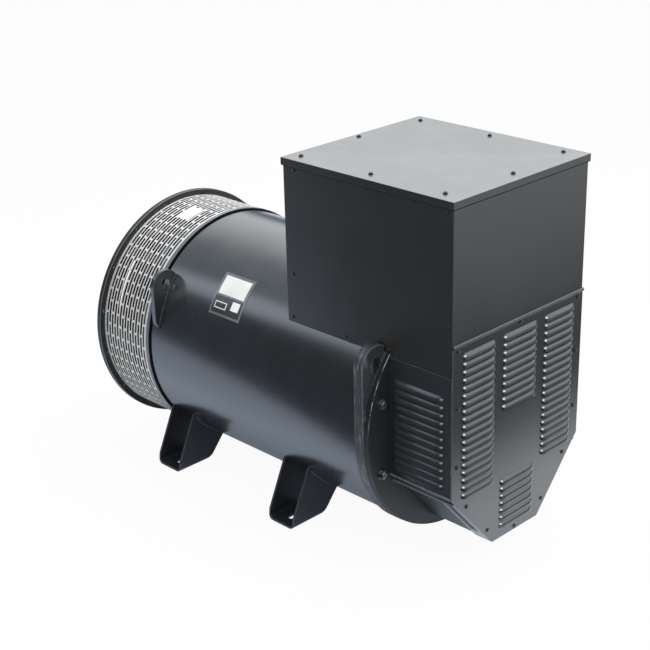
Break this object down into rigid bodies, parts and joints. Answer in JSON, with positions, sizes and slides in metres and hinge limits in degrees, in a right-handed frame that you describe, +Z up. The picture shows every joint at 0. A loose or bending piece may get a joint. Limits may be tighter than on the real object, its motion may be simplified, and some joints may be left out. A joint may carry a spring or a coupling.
{
  "type": "generator alternator head",
  "caption": "Single-bearing generator alternator with a round barrel on channel feet, louvred air inlet, terminal box on top, slotted outlet screen and a bolting flange with drive discs.",
  "frame": {"origin": "centre of the bounding box, on the plane of the soles of the feet", "axes": "+X along the shaft towards the air inlet end, +Z up; the near side in the picture is -Y"},
  "size_m": [1.3476, 0.7112, 1.0188],
  "materials": {
    "satin_black_paint": "satin black paint on steel",
    "charcoal_paint": "satin charcoal paint on sheet",
    "lid_paint": "satin charcoal paint, upward face",
    "painted_casting": "black paint on cast iron",
    "black_zinc": "black zinc fasteners",
    "bright_steel": "bright steel",
    "spring_steel": "rolled spring steel",
    "laminated_steel": "stacked laminations",
    "varnished_copper": "varnished windings",
    "copper_bar": "copper",
    "brass_cage": "machined brass",
    "board_laminate": "laminate board",
    "regulator_case": "potted plastic case",
    "cast_alloy": "as-cast alloy"
  },
  "bodies": {
    "frame": {"frame_barrel": "satin_black_paint", "nde_frame_ring": "satin_black_paint", "nde_bracket": "painted_casting", "bracket_bolt_1": "black_zinc", "bracket_bolt_2": "black_zinc", "bracket_bolt_3": "black_zinc", "bracket_bolt_4": "black_zinc", "bracket_bolt_5": "black_zinc", "bracket_bolt_6": "black_zinc", "de_lifting_lug_near": "satin_black_paint", "de_lifting_lug_far": "satin_black_paint", "foot_inlet_near": "satin_black_paint", "foot_inlet_far": "satin_black_paint", "foot_drive_near": "satin_black_paint", "foot_drive_far": "satin_black_paint", "drive_end_adaptor": "painted_casting", "outlet_screen": "bright_steel", "inlet_end_cover": "charcoal_paint", "inlet_side_panel_near": "satin_black_paint", "inlet_side_panel_far": "satin_black_paint", "inlet_belly_panel": "charcoal_paint", "box_side_panel_near": "satin_black_paint", "box_side_panel_far": "satin_black_paint", "box_front_panel": "satin_black_paint", "box_rear_panel": "satin_black_paint", "box_lid": "lid_paint", "stator_core": "laminated_steel", "nde_end_winding": "varnished_copper", "de_end_winding": "varnished_copper", "bearing_outer_ring": "bright_steel", "bearing_cap": "painted_casting", "exciter_stator": "varnished_copper", "terminal_saddle": "black_zinc", "terminal_board": "board_laminate", "terminal_bar_1": "copper_bar", "terminal_bar_2": "copper_bar", "terminal_bar_3": "copper_bar", "terminal_bar_4": "copper_bar", "voltage_regulator": "regulator_case"},
    "rotor": {"rotor_shaft": "bright_steel", "bearing_inner_ring": "bright_steel", "rotor_core": "laminated_steel", "rotor_coil_1": "varnished_copper", "rotor_coil_2": "varnished_copper", "rotor_coil_3": "varnished_copper", "rotor_coil_4": "varnished_copper", "cooling_fan": "cast_alloy", "drive_hub": "painted_casting", "drive_discs": "spring_steel", "disc_clamp_plate": "bright_steel", "exciter_rotor": "varnished_copper", "rectifier_disc": "cast_alloy"},
    "ball_set": {"bearing_ball_cage": "brass_cage"}
  },
  "joints": [
    {"name": "rotor_spin", "type": "hinge", "parent": "frame", "child": "rotor", "pos_m": [0.00535, 0, 0.3584], "axis": [1, 0, 0], "continuous": true},
    {"name": "cage_spin", "type": "hinge", "parent": "frame", "child": "ball_set", "pos_m": [0.47185, 0, 0.3584], "axis": [1, 0, 0], "continuous": true}
  ],
  "couplings": [
    {"joint": "cage_spin", "follows": "rotor_spin", "ratio": 0.4107}
  ]
}
